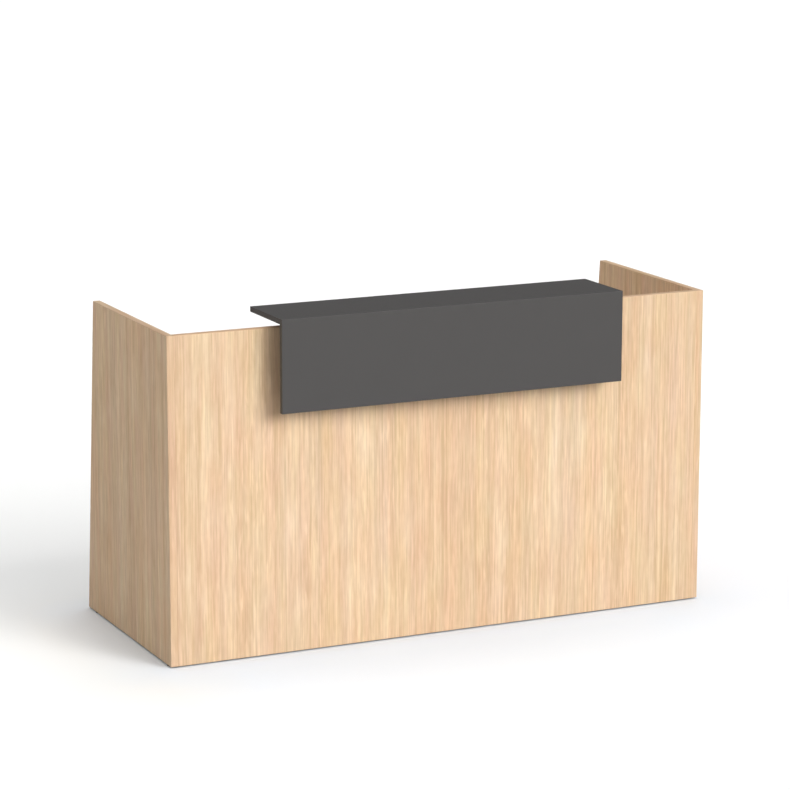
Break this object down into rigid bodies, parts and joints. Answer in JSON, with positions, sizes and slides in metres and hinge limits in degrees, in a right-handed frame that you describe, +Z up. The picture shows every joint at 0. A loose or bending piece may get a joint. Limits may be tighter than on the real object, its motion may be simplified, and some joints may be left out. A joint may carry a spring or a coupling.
{
  "type": "reception desk",
  "caption": "Panel-built reception desk in light oak decor with a floating charcoal hob, an inner worktop open to the staff side, cable ports and levelling feet.",
  "frame": {"origin": "on the floor under the middle of the desk's overall plan box", "axes": "+X along the desk to the visitor's right, +Y from the visitor towards the staff side, +Z up"},
  "size_m": [2, 0.888, 1.154],
  "materials": {
    "oak_board": "faced board in light oak decor, fine straight vertical grain, matt",
    "oak_edge": "light oak edge band, satin",
    "charcoal_board": "faced board in plain charcoal, fine pearl texture, matt",
    "charcoal_edge": "charcoal edge band, satin",
    "bracket_steel": "grey powder coat on bent steel",
    "zinc_fixings": "bright zinc plate",
    "foot_plastic": "black moulded glide",
    "port_plastic": "dark grey moulded, fine grain"
  },
  "bodies": {
    "carcass": {"left_end_panel": "oak_board", "left_end_panel_edge_band": "oak_edge", "right_end_panel": "oak_board", "right_end_panel_edge_band": "oak_edge", "front_panel": "oak_board", "front_panel_top_edge_band": "oak_edge", "worktop": "oak_board", "worktop_rear_edge_band": "oak_edge", "hob_top": "charcoal_board", "hob_top_edge_band": "charcoal_edge", "hob_front": "charcoal_board", "hob_front_edge_band": "charcoal_edge", "hob_bracket_left": "bracket_steel", "hob_bracket_left_lower_screw": "zinc_fixings", "hob_bracket_left_upper_screw": "zinc_fixings", "hob_bracket_left_arm_screw": "zinc_fixings", "hob_bracket_centre": "bracket_steel", "hob_bracket_centre_lower_screw": "zinc_fixings", "hob_bracket_centre_upper_screw": "zinc_fixings", "hob_bracket_centre_arm_screw": "zinc_fixings", "hob_bracket_right": "bracket_steel", "hob_bracket_right_lower_screw": "zinc_fixings", "hob_bracket_right_upper_screw": "zinc_fixings", "hob_bracket_right_arm_screw": "zinc_fixings", "worktop_angle_left": "bracket_steel", "worktop_angle_left_front_screw": "zinc_fixings", "worktop_angle_left_rear_screw": "zinc_fixings", "worktop_angle_left_worktop_screw": "zinc_fixings", "worktop_angle_right": "bracket_steel", "worktop_angle_right_front_screw": "zinc_fixings", "worktop_angle_right_rear_screw": "zinc_fixings", "worktop_angle_right_worktop_screw": "zinc_fixings", "worktop_angle_front": "bracket_steel", "worktop_angle_front_left_screw": "zinc_fixings", "worktop_angle_front_right_screw": "zinc_fixings", "worktop_angle_front_worktop_screw": "zinc_fixings", "panel_cam_left_lower": "zinc_fixings", "panel_cam_bolt_left_lower": "zinc_fixings", "panel_cam_left_upper": "zinc_fixings", "panel_cam_bolt_left_upper": "zinc_fixings", "panel_cam_right_lower": "zinc_fixings", "panel_cam_bolt_right_lower": "zinc_fixings", "panel_cam_right_upper": "zinc_fixings", "panel_cam_bolt_right_upper": "zinc_fixings", "front_left_foot_insert": "zinc_fixings", "rear_left_foot_insert": "zinc_fixings", "front_right_foot_insert": "zinc_fixings", "rear_right_foot_insert": "zinc_fixings", "cable_port_left_sleeve": "port_plastic", "cable_port_right_sleeve": "port_plastic"},
    "front_left_pad": {"front_left_foot_pad": "foot_plastic"},
    "front_left_stud": {"front_left_foot_stud": "zinc_fixings"},
    "rear_left_pad": {"rear_left_foot_pad": "foot_plastic"},
    "rear_left_stud": {"rear_left_foot_stud": "zinc_fixings"},
    "front_right_pad": {"front_right_foot_pad": "foot_plastic"},
    "front_right_stud": {"front_right_foot_stud": "zinc_fixings"},
    "rear_right_pad": {"rear_right_foot_pad": "foot_plastic"},
    "rear_right_stud": {"rear_right_foot_stud": "zinc_fixings"},
    "left_port_cap": {"cable_port_left_cap": "port_plastic"},
    "right_port_cap": {"cable_port_right_cap": "port_plastic"}
  },
  "joints": [
    {"name": "front_left_foot_lift", "type": "slide", "parent": "carcass", "child": "front_left_pad", "axis": [0, 0, -1], "range_m": [0, 0.0151]},
    {"name": "front_left_stud_turn", "type": "hinge", "parent": "front_left_pad", "child": "front_left_stud", "pos_m": [-0.9875, -0.321, 0.02], "axis": [0, 0, -1], "range_deg": [0, 4320]},
    {"name": "rear_left_foot_lift", "type": "slide", "parent": "carcass", "child": "rear_left_pad", "axis": [0, 0, -1], "range_m": [0, 0.0151]},
    {"name": "rear_left_stud_turn", "type": "hinge", "parent": "rear_left_pad", "child": "rear_left_stud", "pos_m": [-0.9875, 0.374, 0.02], "axis": [0, 0, -1], "range_deg": [0, 4320]},
    {"name": "front_right_foot_lift", "type": "slide", "parent": "carcass", "child": "front_right_pad", "axis": [0, 0, -1], "range_m": [0, 0.0151]},
    {"name": "front_right_stud_turn", "type": "hinge", "parent": "front_right_pad", "child": "front_right_stud", "pos_m": [0.9875, -0.321, 0.02], "axis": [0, 0, -1], "range_deg": [0, 4320]},
    {"name": "rear_right_foot_lift", "type": "slide", "parent": "carcass", "child": "rear_right_pad", "axis": [0, 0, -1], "range_m": [0, 0.0151]},
    {"name": "rear_right_stud_turn", "type": "hinge", "parent": "rear_right_pad", "child": "rear_right_stud", "pos_m": [0.9875, 0.374, 0.02], "axis": [0, 0, -1], "range_deg": [0, 4320]},
    {"name": "left_port_cap_turn", "type": "hinge", "parent": "carcass", "child": "left_port_cap", "pos_m": [-0.56, -0.236, 0.741], "axis": [0, 0, 1], "continuous": true},
    {"name": "right_port_cap_turn", "type": "hinge", "parent": "carcass", "child": "right_port_cap", "pos_m": [0.56, -0.236, 0.741], "axis": [0, 0, 1], "continuous": true}
  ],
  "couplings": [
    {"joint": "front_left_foot_lift", "follows": "front_left_stud_turn", "m_per_rad": 0.00019894},
    {"joint": "rear_left_foot_lift", "follows": "rear_left_stud_turn", "m_per_rad": 0.00019894},
    {"joint": "front_right_foot_lift", "follows": "front_right_stud_turn", "m_per_rad": 0.00019894},
    {"joint": "rear_right_foot_lift", "follows": "rear_right_stud_turn", "m_per_rad": 0.00019894}
  ]
}
